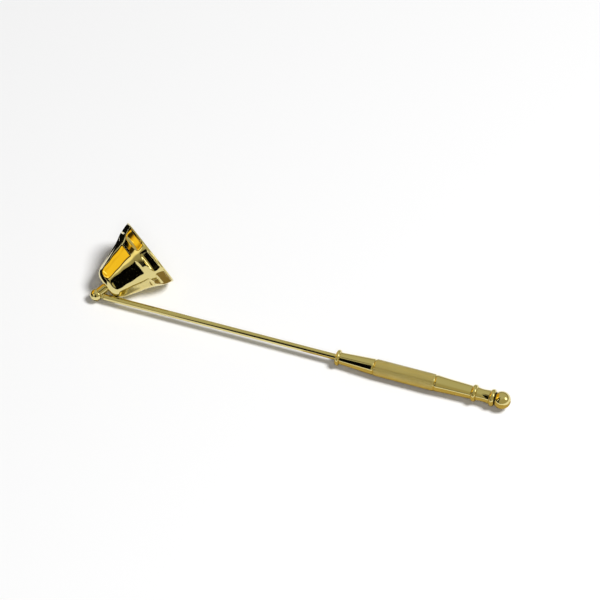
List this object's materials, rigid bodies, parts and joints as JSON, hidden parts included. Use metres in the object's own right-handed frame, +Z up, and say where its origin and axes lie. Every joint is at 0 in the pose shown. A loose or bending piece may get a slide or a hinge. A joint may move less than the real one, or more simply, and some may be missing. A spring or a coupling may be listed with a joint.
{
  "type": "candle snuffer",
  "caption": "Long-handled candle snuffer: a ribbed bell hinged to a straight rod with a turned, knurled handle and a ball end.",
  "frame": {"origin": "middle of the underside of the object's box, lying on a table", "axes": "+X along the rod from the bell to the end knob, +Y to the side where the bell leans over, +Z up"},
  "size_m": [0.2286, 0.0442, 0.0368],
  "materials": {
    "polished_brass": "polished light gold",
    "knurled_brass": "diamond knurled, light gold",
    "dark_steel": "blackened",
    "screw_steel": "plain bright"
  },
  "bodies": {
    "handle": {"rod": "polished_brass", "front_ring": "polished_brass", "front_taper": "polished_brass", "knurled_grip": "knurled_brass", "rear_taper": "polished_brass", "middle_ring": "polished_brass", "waist_spacer": "polished_brass", "rear_ring": "polished_brass", "knob_washer": "dark_steel", "end_knob": "polished_brass"},
    "bell": {"bell": "polished_brass", "pivot_post": "polished_brass", "pivot_pin": "polished_brass", "bell_screw": "screw_steel", "bell_screw_washer": "screw_steel"}
  },
  "joints": [
    {"name": "bell_swing", "type": "hinge", "parent": "handle", "child": "bell", "pos_m": [-0.11118, -0.01747, 0.00532], "axis": [-0.0054, -0.4653, 0.8851], "range_deg": [0, 252]}
  ]
}
